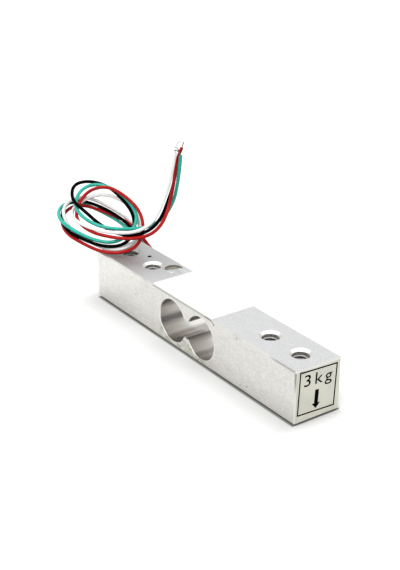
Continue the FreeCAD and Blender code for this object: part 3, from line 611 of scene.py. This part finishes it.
# leads: loose stranded wires out of the back face, in two loose turns over the far end, then upright
leadSet = {
    "diameter": 0.9 * mm,
    "sides": 5,  # bevel resolution of the round section
    "steps": 10,  # points between two control points
    "lengths": {"red": 0.172, "black": 0.1646, "green": 0.1643, "white": 0.167},
}
leadRoutes = {
    "red": [
        (-0.0185, 0.0064, 0.0072), (-0.0185, 0.0102, 0.0072), (-0.0212, 0.0132, 0.0068),
        (-0.0256, 0.0135, 0.006), (-0.0312, 0.012, 0.0065), (-0.0376, 0.0097, 0.0086),
        (-0.045, 0.008, 0.0152), (-0.0513, 0.0035, 0.0177), (-0.0552, -0.0018, 0.02),
        (-0.0562, -0.0056, 0.0192), (-0.0539, -0.009, 0.0175), (-0.048, -0.0109, 0.0161),
        (-0.0419, -0.0091, 0.0147), (-0.0363, -0.0069, 0.0138), (-0.033, -0.003, 0.0138),
        (-0.0328, 0.0014, 0.0147), (-0.0352, 0.0049, 0.0173), (-0.039, 0.0066, 0.0208),
        (-0.0442, 0.0058, 0.0236), (-0.0506, 0.0038, 0.0253), (-0.0536, -0.0003, 0.0242),
        (-0.0517, -0.005, 0.0216), (-0.0472, -0.0082, 0.0194), (-0.0408, -0.0076, 0.018),
        (-0.0364, -0.0042, 0.0173), (-0.0326, -0.0007, 0.0172), (-0.031, 0.0042, 0.0176),
        (-0.0322, 0.0088, 0.0194), (-0.034, 0.012, 0.023), (-0.034, 0.0132, 0.0275),
        (-0.0339, 0.0139, 0.0318), (-0.034, 0.0146, 0.0354), (-0.0326, 0.0151, 0.0384)],
    "black": [
        (-0.0195, 0.0064, 0.0072), (-0.0195, 0.0099, 0.0072), (-0.0221, 0.0124, 0.0068),
        (-0.026, 0.0123, 0.006), (-0.0314, 0.0108, 0.0063), (-0.0378, 0.0084, 0.0082),
        (-0.0446, 0.007, 0.0152), (-0.0507, 0.0034, 0.0188), (-0.0559, -0.0012, 0.0208),
        (-0.0564, -0.0058, 0.0209), (-0.0532, -0.0094, 0.0183), (-0.0474, -0.011, 0.017),
        (-0.0412, -0.0085, 0.0156), (-0.037, -0.0059, 0.0149), (-0.0346, -0.0018, 0.015),
        (-0.0364, 0.0027, 0.0167), (-0.0406, 0.0054, 0.0199), (-0.0463, 0.006, 0.022),
        (-0.053, 0.0052, 0.0244), (-0.0566, 0.0012, 0.0256), (-0.056, -0.0038, 0.0256),
        (-0.0513, -0.0069, 0.0234), (-0.0463, -0.0059, 0.0216), (-0.0423, -0.0041, 0.0189),
        (-0.037, -0.0022, 0.0175), (-0.0325, 0.0007, 0.0178), (-0.0319, 0.0054, 0.0188),
        (-0.0338, 0.0096, 0.0206), (-0.0352, 0.0123, 0.0236), (-0.0354, 0.014, 0.0269),
        (-0.0357, 0.0152, 0.0305), (-0.0352, 0.0157, 0.0338)],
    "green": [
        (-0.0195, 0.0064, 0.0062), (-0.0195, 0.0099, 0.0062), (-0.0221, 0.0125, 0.0058),
        (-0.026, 0.0124, 0.0049), (-0.0314, 0.0108, 0.0052), (-0.0377, 0.0084, 0.0069),
        (-0.0451, 0.0066, 0.0144), (-0.052, 0.004, 0.0169), (-0.057, -0.0008, 0.0196),
        (-0.0579, -0.0055, 0.0203), (-0.0541, -0.0099, 0.0196), (-0.0486, -0.0113, 0.0188),
        (-0.0442, -0.0091, 0.0169), (-0.0398, -0.0067, 0.0158), (-0.0363, -0.0036, 0.0156),
        (-0.0356, 0.0002, 0.0169), (-0.0371, 0.0039, 0.0189), (-0.0407, 0.0062, 0.0205),
        (-0.0446, 0.0063, 0.0224), (-0.0496, 0.0053, 0.0245), (-0.0543, 0.002, 0.0253),
        (-0.0546, -0.0023, 0.0244), (-0.0517, -0.0058, 0.0222), (-0.0473, -0.0072, 0.0209),
        (-0.0419, -0.0062, 0.0196), (-0.038, -0.0036, 0.019), (-0.0347, 0.0006, 0.0189),
        (-0.0343, 0.0061, 0.0184), (-0.0348, 0.0112, 0.0199), (-0.0344, 0.0139, 0.0241),
        (-0.0336, 0.0144, 0.0287), (-0.0327, 0.0145, 0.033), (-0.0322, 0.0145, 0.0366)],
    "white": [
        (-0.0185, 0.0064, 0.0062), (-0.0185, 0.0104, 0.0062), (-0.0212, 0.0135, 0.0058),
        (-0.0256, 0.0136, 0.0049), (-0.0312, 0.012, 0.0054), (-0.0396, 0.0096, 0.0069),
        (-0.0454, 0.009, 0.015), (-0.0513, 0.0045, 0.0192), (-0.0553, -0.0004, 0.0219),
        (-0.056, -0.0053, 0.0216), (-0.0532, -0.0089, 0.02), (-0.049, -0.0093, 0.017),
        (-0.0426, -0.0079, 0.0154), (-0.0374, -0.0056, 0.014), (-0.0342, -0.0022, 0.014),
        (-0.0346, 0.0024, 0.0154), (-0.038, 0.0056, 0.0176), (-0.0429, 0.0074, 0.0199),
        (-0.0482, 0.0063, 0.0216), (-0.0517, 0.0032, 0.0229), (-0.0533, -0.0008, 0.0223),
        (-0.0524, -0.0058, 0.021), (-0.0472, -0.0096, 0.0202), (-0.0406, -0.0073, 0.0189),
        (-0.0361, -0.0038, 0.0185), (-0.0326, 0.0005, 0.0187), (-0.0329, 0.0054, 0.0196),
        (-0.0344, 0.0086, 0.0213), (-0.0342, 0.0111, 0.026), (-0.0334, 0.012, 0.0301),
        (-0.033, 0.0126, 0.034), (-0.0326, 0.0131, 0.0376)],
}


def routeCurve(name, points, steps, radius=0.0, sides=0):
    curve = bpy.data.curves.new(name, "CURVE")
    curve.dimensions = "3D"
    curve.resolution_u = steps
    curve.bevel_depth = radius
    curve.bevel_resolution = sides
    curve.use_fill_caps = radius > 0
    spline = curve.splines.new("NURBS")
    spline.points.add(len(points) - 1)
    for control, place in zip(spline.points, points):
        control.co = (*place, 1)
    spline.order_u = 3
    spline.use_endpoint_u = True
    piece = bpy.data.objects.new(name, curve)
    bpy.context.collection.objects.link(piece)
    return piece


def takeMesh(piece):
    # the evaluated mesh of a curve or text, which is then removed
    bpy.context.view_layer.update()
    mesh = bpy.data.meshes.new_from_object(piece.evaluated_get(bpy.context.evaluated_depsgraph_get()))
    bpy.data.objects.remove(piece)
    return mesh


def dress(piece, look):
    piece.data.materials.append(looks[look])
    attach(piece, "root")


def pointsOf(made):
    return [item for item in made["geom"] if isinstance(item, bmesh.types.BMVert)]


def meshPiece(name, bm):
    mesh = bpy.data.meshes.new(name)
    bm.to_mesh(mesh)
    bm.free()
    piece = bpy.data.objects.new(name, mesh)
    bpy.context.collection.objects.link(piece)
    return piece


def shadeSmooth(piece, angle=35):
    for face in piece.data.polygons:
        face.use_smooth = True
    piece.data.set_sharp_from_angle(angle=math.radians(angle))


# bare ends: a few tinned strands, twisted
tipSet = {
    "strands": 3,
    "strandDiameter": 0.14 * mm,
    "twistRadius": 0.08 * mm,
    "twistPitch": 2.2 * mm,
    "fray": 0.06 * mm,  # how far the strands open at the cut
    "stub": 0.4 * mm,  # straight out of the insulation
    "tuck": 0.5 * mm,  # length hidden in the insulation
    "frayPower": 3,  # the higher, the later they open
    "lineSteps": 12,  # points between two control points
    "strandSteps": 2,
    "strandSides": 1,  # bevel resolution
    "bright": ("white",),  # freshly tinned ends
}
tipBends = {
    "red": [(-0.03253, 0.01562, 0.03998)],
    "black": [(-0.03515, 0.01585, 0.03675), (-0.0353, 0.01559, 0.03767), (-0.03529, 0.01472, 0.03799)],
    "green": [(-0.03234, 0.01393, 0.0375), (-0.03252, 0.01345, 0.03818), (-0.03272, 0.01277, 0.03815)],
    "white": [(-0.03321, 0.014, 0.03963), (-0.033, 0.01459, 0.03999), (-0.03266, 0.0155, 0.04054)],
}


def makeTip(colour, part):
    before, end = (Vector(point) for point in leadRoutes[colour][-2:])
    heading = (end - before).normalized()
    control = [end - heading * part["tuck"], end + heading * part["stub"]] + tipBends[colour]
    guide = takeMesh(routeCurve("tipLine", control, part["lineSteps"]))
    line = [vertex.co.copy() for vertex in guide.vertices]
    steps = [(after - before).length for before, after in zip(line, line[1:])]
    total = sum(steps)
    bm = bmesh.new()
    for strand in range(part["strands"]):
        side, run, path = heading.orthogonal(), 0.0, []
        for index, place in enumerate(line):
            along = (line[min(index + 1, len(line) - 1)] - line[max(index - 1, 0)]).normalized()
            side = (side - along * side.dot(along)).normalized()
            turn = math.tau * (strand / part["strands"] + run / part["twistPitch"])
            away = part["twistRadius"] + part["fray"] * (run / total) ** part["frayPower"]
            path.append(place + Matrix.Rotation(turn, 3, along) @ side * away)
            run += steps[min(index, len(steps) - 1)]
        strandCurve = routeCurve(
            "strand", path, part["strandSteps"], part["strandDiameter"] / 2, part["strandSides"])
        bm.from_mesh(takeMesh(strandCurve))
    bmesh.ops.remove_doubles(bm, verts=bm.verts, dist=mergeGap)
    bmesh.ops.recalc_face_normals(bm, faces=bm.faces)
    tip = meshPiece(f"{colour}LeadStrands", bm)
    shadeSmooth(tip)
    dress(tip, "solder" if colour in part["bright"] else "tinned_core")
    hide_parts(f"{colour}_lead_tip")
    return tip


def makeLeads(part):
    for colour, route in leadRoutes.items():
        tip = makeTip(colour, tipSet)
        lead = routeCurve(f"{colour}LeadWire", route, part["steps"], part["diameter"] / 2, part["sides"])
        dress(lead, f"{colour}_insulation")
        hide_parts(f"{colour}_lead")


makeLeads(leadSet)
print("leads made")


# screw threads in the four tapped holes
threadSet = {
    "axes": (-34.0 * mm, -23.6 * mm, 23.6 * mm, 34.0 * mm),
    "wall": 2.02 * mm,
    "crest": 1.66 * mm,
    "pitch": 0.7 * mm,
    "rootHalf": 0.47,  # half width at the wall and at the crest, in pitches
    "crestHalf": 0.1,
    "turns": 15,
    "steps": 36,  # in one turn
    "runOut": 0.35 * mm,  # height over which the thread begins and ends
}


def makeThreads(part):
    low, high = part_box("beam")
    pitch, height = part["pitch"], part["pitch"] * part["turns"]
    foot = (low.z + high.z - height) / 2
    bm = bmesh.new()
    rootHalf, crestHalf = pitch * part["rootHalf"], pitch * part["crestHalf"]
    profile = [
        (part["wall"], -rootHalf), (part["crest"], -crestHalf), (part["crest"], crestHalf),
        (part["wall"], rootHalf)]
    corners = [bm.verts.new((radius, 0, foot + lift)) for radius, lift in profile]
    edges = [bm.edges.new(pair) for pair in zip(corners, corners[1:])]
    bmesh.ops.spin(
        bm, geom=corners + edges, cent=(0, 0, 0), axis=(0, 0, 1), angle=math.tau * part["turns"],
        steps=part["steps"] * part["turns"], dvec=(0, 0, pitch / part["steps"]))
    for vertex in bm.verts:
        radius = vertex.co.xy.length
        if radius < (part["wall"] + part["crest"]) / 2:  # the crest fades in and out at the ends
            inside = min(vertex.co.z - foot, foot + height - vertex.co.z) / part["runOut"]
            wanted = part["wall"] + (part["crest"] - part["wall"]) * max(0.0, min(1.0, inside))
            vertex.co.xy *= wanted / radius
    bmesh.ops.recalc_face_normals(bm, faces=bm.faces)
    if sum(face.normal.xy.dot(face.calc_center_median().xy) for face in bm.faces) > 0:
        bmesh.ops.reverse_faces(bm, faces=bm.faces)
    first = bm.verts[:] + bm.edges[:] + bm.faces[:]
    for axis in part["axes"][1:]:
        copied = pointsOf(bmesh.ops.duplicate(bm, geom=first))
        bmesh.ops.translate(bm, verts=copied, vec=(axis - part["axes"][0], 0, 0))
    bmesh.ops.translate(bm, verts=bm.verts, vec=(part["axes"][0], 0, 0))
    piece = meshPiece("holeThreads", bm)
    shadeSmooth(piece)
    dress(piece, "thread")


makeThreads(threadSet)
print("threads cut")


# sealant coats over the gauges, thin at the edges, each with a smear to the wire passage
coatSet = {
    "cell": 0.24 * mm,
    "edge": 0.7 * mm,  # width of the feathered border
    "thin": 0.1,  # thickness at the rim, as a share
    "ripple": 0.05,  # unevenness of the outer face, as a share
    "rippleScale": 400,
    "waver": 0.1 * mm,  # how far the rim strays
    "waverScale": (700, 100),
    "waverPower": 6,  # the higher, the nearer to the rim it stays
    "smoothAngle": 60,
    "seeds": {"top": 3.7, "bottom": 8.1},
    "patchY": (-6.05 * mm, 6.05 * mm),
    "patchThick": {"top": 0.55 * mm, "bottom": 0.35 * mm},
    "smearX": (-18.1 * mm, -13.6 * mm),
    "smearY": (1.6 * mm, 4.6 * mm),
    "smearThick": 0.32 * mm,
    "lipRadius": 2.45 * mm,  # a lip of the smear half covers the wire passage
    "lipSides": 48,
    "lipOff": 0.7 * mm,  # from the passage's middle to the lip's straight edge
    "lipFacing": (0.945, -0.327, 0.0),
    "lipThick": 0.12 * mm,
    "lipRound": 0.8,  # of its thickness
}


def addCoat(bm, xRange, yRange, base, rise, ripple, seed):
    part = coatSet
    wide, deep = xRange[1] - xRange[0], yRange[1] - yRange[0]
    middle = Vector((sum(xRange) / 2, sum(yRange) / 2, base))
    made = bmesh.ops.create_grid(
        bm, x_segments=round(wide / part["cell"]), y_segments=round(deep / part["cell"]), size=0.5,
        matrix=Matrix.Translation(middle) @ Matrix.Diagonal((wide, deep, 1, 1)))
    faces = list({face for vertex in made["verts"] for face in vertex.link_faces})
    outer = pointsOf(bmesh.ops.extrude_face_region(bm, geom=faces))
    scale = part["rippleScale"]
    for vertex in outer:
        away = vertex.co - middle
        inset = min(wide / 2 - abs(away.x), deep / 2 - abs(away.y))
        share = max(0.0, min(1.0, inset / part["edge"]))
        share = part["thin"] + (1 - part["thin"]) * math.sqrt(1 - (1 - share) ** 2)
        share *= 1 + ripple * noise.noise((vertex.co.x * scale + seed, vertex.co.y * scale, 0.0))
        vertex.co.z += rise * min(share, 1.0)
    alongY, alongX = part["waverScale"]
    for vertex in made["verts"] + outer:
        away = vertex.co - middle
        stray = noise.noise((seed, vertex.co.y * alongY, away.x * alongX)) * part["waver"]
        vertex.co.x += stray * (2 * abs(away.x) / wide) ** part["waverPower"]


def addLip(bm, base, rise):
    part = coatSet
    facing = Vector(part["lipFacing"])
    middle = Vector((*passageMouth, base))
    lip = bmesh.new()
    bmesh.ops.create_circle(
        lip, cap_ends=True, segments=part["lipSides"], radius=part["lipRadius"],
        matrix=Matrix.Translation(middle))
    bmesh.ops.bisect_plane(
        lip, geom=lip.verts[:] + lip.edges[:] + lip.faces[:], plane_co=middle + facing * part["lipOff"],
        plane_no=facing, clear_inner=True)
    outer = pointsOf(bmesh.ops.extrude_face_region(lip, geom=lip.faces[:]))
    bmesh.ops.translate(lip, verts=outer, vec=(0, 0, rise))
    rim = [edge for edge in lip.edges if all(vertex in outer for vertex in edge.verts)]
    bmesh.ops.bevel(
        lip, geom=rim, offset=abs(rise) * part["lipRound"], affect="EDGES", segments=3, profile=0.5,
        material=-1)
    mesh = bpy.data.meshes.new("passageLip")
    lip.to_mesh(mesh)
    lip.free()
    bm.from_mesh(mesh)
    bpy.data.meshes.remove(mesh)


def makeCoat(name, side, node):
    part = coatSet
    low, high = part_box("beam")
    outwards, base = (1, high.z) if side == "top" else (-1, low.z)
    ripple = part["ripple"] if side == "top" else 0.0  # the lower coat is pressed flat where it stands
    seed = part["seeds"][side]
    bm = bmesh.new()
    addCoat(bm, coatX, part["patchY"], base, outwards * part["patchThick"][side], ripple, seed)
    patch = set(bm.faces)
    addCoat(bm, part["smearX"], part["smearY"], base, outwards * part["smearThick"], part["ripple"], seed)
    addLip(bm, base, outwards * part["lipThick"])
    for face in bm.faces:
        face.material_index = 0 if face in patch else 1
    bmesh.ops.recalc_face_normals(bm, faces=bm.faces)
    piece = meshPiece(name, bm)
    shadeSmooth(piece, part["smoothAngle"])
    dress(piece, "sealant")
    piece.data.materials.append(looks["smear"])
    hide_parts(node)


makeCoat("topSealantCoat", "top", "top_sealant")
makeCoat("bottomSealantCoat", "bottom", "bottom_sealant")
print("sealant coats laid")


# a run of gauge adhesive over the front edge, at the near end of the top coat, and a dot of ink
markSet = {
    "run": (
        (7.4 * mm, -6.2 * mm, 13.0 * mm), (9.4 * mm, -6.26 * mm, 12.92 * mm),
        (10.5 * mm, -6.36 * mm, 12.72 * mm), (10.95 * mm, -6.38 * mm, 12.45 * mm),
        (10.98 * mm, -6.37 * mm, 12.05 * mm)),
    "runRadius": 0.09 * mm,
    "runSteps": 10,
    "runSides": 3,  # bevel resolution
    "dot": (-28.8 * mm, 2.4 * mm),
    "dotRadius": 0.53 * mm,
    "dotSides": 32,
    "dotThick": 0.015 * mm,
}


def makeMarks(part):
    bm = bmesh.new()
    runCurve = routeCurve("run", part["run"], part["runSteps"], part["runRadius"], part["runSides"])
    bm.from_mesh(takeMesh(runCurve))
    bmesh.ops.remove_doubles(bm, verts=bm.verts, dist=mergeGap)
    bmesh.ops.recalc_face_normals(bm, faces=bm.faces)
    run = meshPiece("adhesiveRun", bm)
    shadeSmooth(run)
    dress(run, "adhesive")

    bm = bmesh.new()
    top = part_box("beam")[1].z
    bmesh.ops.create_circle(
        bm, cap_ends=True, segments=part["dotSides"], radius=part["dotRadius"],
        matrix=Matrix.Translation((*part["dot"], top)))
    outer = pointsOf(bmesh.ops.extrude_face_region(bm, geom=bm.faces[:]))
    bmesh.ops.translate(bm, verts=outer, vec=(0, 0, part["dotThick"]))
    bmesh.ops.recalc_face_normals(bm, faces=bm.faces)
    dress(meshPiece("inkDot", bm), "ink")


makeMarks(markSet)
print("marks made")


# print on the end label: a frame line, a plain capacity figure and a load arrow
labelSet = {
    "figure": "3kg",
    "spacing": 1.3,  # of its letters
    "curveSteps": 6,
    "figureBox": ((-4.1 * mm, 3.6 * mm), (7.75 * mm, 11.4 * mm)),
    "boldness": 0.004,  # how far the strokes are widened, in text heights
    "frameBox": ((-5.49 * mm, 4.91 * mm), (2.0 * mm, 12.37 * mm)),
    "line": 0.34 * mm,
    "arrowTop": 7.22 * mm,
    "arrowTip": 2.74 * mm,
    "arrowAt": -0.38 * mm,
    "shaft": 1.05 * mm,
    "head": (2.35 * mm, 1.25 * mm),
    "tilt": -2.8,  # degrees, the label is stuck on a little crooked
    "ink": 0.012 * mm,  # thickness of the print
}


def addBar(bm, yRange, zRange):
    middle = Vector((0, sum(yRange) / 2, sum(zRange) / 2))
    bmesh.ops.create_grid(
        bm, x_segments=1, y_segments=1, size=0.5,
        matrix=Matrix.Translation(middle) @ Matrix.Rotation(math.pi / 2, 4, "Y")
        @ Matrix.Diagonal((zRange[1] - zRange[0], yRange[1] - yRange[0], 1, 1)))


def addFigure(bm, part):
    curve = bpy.data.curves.new("capacityFigure", "FONT")
    curve.body = part["figure"]
    curve.offset = part["boldness"]
    curve.space_character = part["spacing"]
    curve.resolution_u = part["curveSteps"]
    words = bpy.data.objects.new("capacityFigure", curve)
    bpy.context.collection.objects.link(words)
    mesh = takeMesh(words)
    across = [vertex.co.x for vertex in mesh.vertices]
    tall = [vertex.co.y for vertex in mesh.vertices]
    (left, right), (foot, top) = part["figureBox"]
    size = ((right - left) / (max(across) - min(across)), (top - foot) / (max(tall) - min(tall)))
    for vertex in mesh.vertices:
        vertex.co = (
            0, left + (vertex.co.x - min(across)) * size[0], foot + (vertex.co.y - min(tall)) * size[1])
    bm.from_mesh(mesh)
    bpy.data.meshes.remove(mesh)


def makePrint(part):
    bm = bmesh.new()
    (left, right), (foot, top) = part["frameBox"]
    line = part["line"]
    addBar(bm, (left, right), (foot, foot + line))
    addBar(bm, (left, right), (top - line, top))
    addBar(bm, (left, left + line), (foot + line, top - line))
    addBar(bm, (right - line, right), (foot + line, top - line))
    at, (wide, tall) = part["arrowAt"], part["head"]
    neck = part["arrowTip"] + tall
    addBar(bm, (at - part["shaft"] / 2, at + part["shaft"] / 2), (neck, part["arrowTop"]))
    head = [(at - wide / 2, neck), (at, part["arrowTip"]), (at + wide / 2, neck)]
    bmesh.ops.contextual_create(bm, geom=[bm.verts.new((0, y, z)) for y, z in head])
    addFigure(bm, part)
    for face in bm.faces:
        face.normal_update()
    bmesh.ops.reverse_faces(bm, faces=[face for face in bm.faces if face.normal.x < 0])
    outer = pointsOf(bmesh.ops.extrude_face_region(bm, geom=bm.faces[:]))
    bmesh.ops.translate(bm, verts=outer, vec=(part["ink"], 0, 0))
    bmesh.ops.rotate(
        bm, verts=bm.verts, cent=(0, (left + right) / 2, (foot + top) / 2),
        matrix=Matrix.Rotation(math.radians(part["tilt"]), 3, "X"))
    bmesh.ops.translate(bm, verts=bm.verts, vec=(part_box("capacity_label")[1].x, 0, 0))
    bmesh.ops.recalc_face_normals(bm, faces=bm.faces)
    dress(meshPiece("labelPrint", bm), "ink")


makePrint(labelSet)
print("label printed")


# pale floor and soft light
studioSet = {
    "half": 1.5,  # of the floor's width
    "floor": (0.8, 0.8, 0.8, 1),
    "floorGrain": 60.0,
    "floorRough": (0.6, 0.7),
    "floorGloss": 0.2,
    "floorUnderShadow": (0.2, 0.2, 0.18, 1),  # painted shadow on the shut-in strip right under the bar
    "underX": (40.1 * mm, 39.6 * mm),
    "underY": (6.95 * mm, 6.35 * mm),
    "floorShade": (0.58, 0.58, 0.575, 1),  # soft shade along its foot
    "floorLit": (0.67, 0.67, 0.665, 1),  # less so in front of the opening
    "litMiddle": -5.0 * mm,
    "litFrom": (26.0 * mm, 4.0 * mm),
    "shadeNear": (43.5 * mm, 38.5 * mm),
    "shadeFar": (-45.0 * mm, -37.0 * mm),
    "shadeFront": (-15.0 * mm, -6.0 * mm),
    "shadeBack": (6.6 * mm, 6.0 * mm),
    "floorBackLit": (0.97, 0.97, 0.97, 1),  # painted light: paler behind the bar and beyond its far end, lifting the shade there
    "backFrom": (5.0 * mm, 9.0 * mm),
    "beyondFrom": (-40.0 * mm, -45.0 * mm),
    "floorGlow": (0.16, 0.16, 0.16, 1),  # keeps the floor white away from the light
    "glowFrom": (0.07, 0.3),
    "keyPlace": (0.2, -0.42, 0.7),
    "keySize": 0.6,
    "keyPower": 4.0,
    "sky": 1.0,
}


def makeFloorLook(part):
    material, tree, shader, place = newMaterial("paleFloor")
    x, y = split(tree, place)[:2]
    glow = ease(tree, reach(tree, x, y), *part["glowFrom"])
    grain = useGroup(tree, grainGroup, place, Scale=part["floorGrain"])
    # painted shadow under the bar
    under = both(
        tree, ease(tree, apart(tree, x, 0.0), *part["underX"]),
        ease(tree, apart(tree, y, 0.0), *part["underY"]))
    shade = both(
        tree, ease(tree, x, *part["shadeNear"]), ease(tree, x, *part["shadeFar"]),
        ease(tree, y, *part["shadeFront"]), ease(tree, y, *part["shadeBack"]))
    # painted light lifts the shade behind the bar and beyond its far end
    back = either(tree, ease(tree, y, *part["backFrom"]), ease(tree, x, *part["beyondFrom"]))
    colour = mixColour(tree, back, part["floor"], part["floorBackLit"])
    lit = ease(tree, apart(tree, x, part["litMiddle"]), *part["litFrom"])
    colour = mixColour(tree, shade, colour, mixColour(tree, lit, part["floorShade"], part["floorLit"]))
    plug(tree, mixColour(tree, under, colour, part["floorUnderShadow"]), shader["Base Color"])
    plug(tree, ease(tree, grain["Height"], *heightRange, *part["floorRough"]), shader["Roughness"])
    plug(tree, part["floorGloss"], shader["Specular IOR Level"])
    plug(tree, mixColour(tree, glow, (0, 0, 0, 1), part["floorGlow"]), shader["Emission Color"])
    plug(tree, 1.0, shader["Emission Strength"])
    return material


def makeStudio(part):
    bm = bmesh.new()
    bmesh.ops.create_grid(bm, x_segments=1, y_segments=1, size=part["half"])
    floor = meshPiece("paleFloor", bm)
    floor.data.materials.append(makeFloorLook(part))
    light = bpy.data.lights.new("keySoftbox", "AREA")
    light.shape = "DISK"
    light.size = part["keySize"]
    light.energy = part["keyPower"]
    lamp = bpy.data.objects.new("keySoftbox", light)
    bpy.context.collection.objects.link(lamp)
    lamp.location = part["keyPlace"]
    lamp.rotation_euler = Vector(part["keyPlace"]).to_track_quat("Z", "Y").to_euler()
    world = bpy.data.worlds.new("paleSky")
    bpy.context.scene.world = world
    world.use_nodes = True
    sky = world.node_tree.nodes["Background"].inputs
    sky["Color"].default_value = (1, 1, 1, 1)
    sky["Strength"].default_value = part["sky"]
    bpy.context.scene.view_settings.view_transform = "Standard"


makeStudio(studioSet)
print("studio lit")
